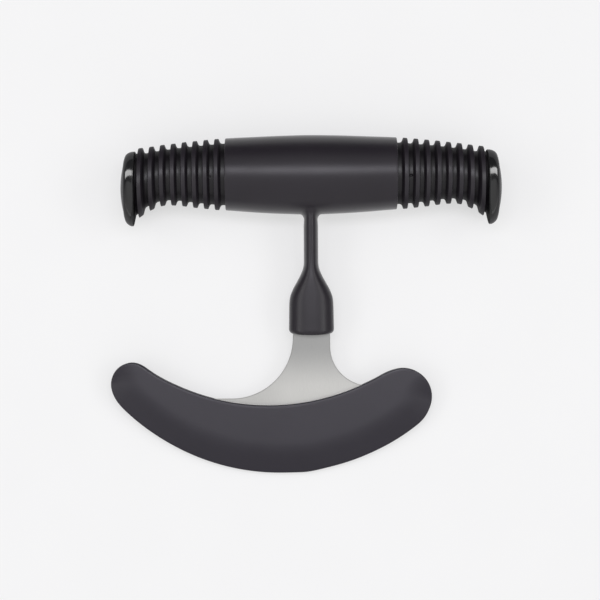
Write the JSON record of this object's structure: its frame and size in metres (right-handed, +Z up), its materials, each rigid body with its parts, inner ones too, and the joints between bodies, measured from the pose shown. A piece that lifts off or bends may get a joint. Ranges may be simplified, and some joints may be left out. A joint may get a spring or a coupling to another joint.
{
  "type": "rocker knife",
  "caption": "T-handled rocker knife with ribbed barrel grip, domed end caps, oval ferrule and steel crescent blade in a slip-on guard.",
  "frame": {"origin": "bottom centre of the box of the knife lying on its side", "axes": "+X along the barrel, +Y from the guard towards the barrel, +Z up, nearly square to the blade"},
  "size_m": [0.1302, 0.1118, 0.0265],
  "materials": {
    "steel": "satin",
    "core": "matte",
    "pin": "plain",
    "soft_skin": "satin",
    "ribbed_grip": "satin",
    "gloss_cap": "gloss",
    "guard": "satin"
  },
  "bodies": {
    "guard": {"blade_guard": "guard"},
    "knife": {"blade": "steel", "handle_core": "core", "tang_pin_upper": "pin", "tang_pin_lower": "pin", "handle_skin": "soft_skin", "grip_sleeve_left": "ribbed_grip", "grip_sleeve_right": "ribbed_grip", "end_cap_left": "gloss_cap", "end_cap_right": "gloss_cap"}
  },
  "joints": [
    {"name": "guard_slide", "type": "slide", "parent": "guard", "child": "knife", "axis": [0, 0.9931, 0.1174], "range_m": [0, 0.03]}
  ]
}
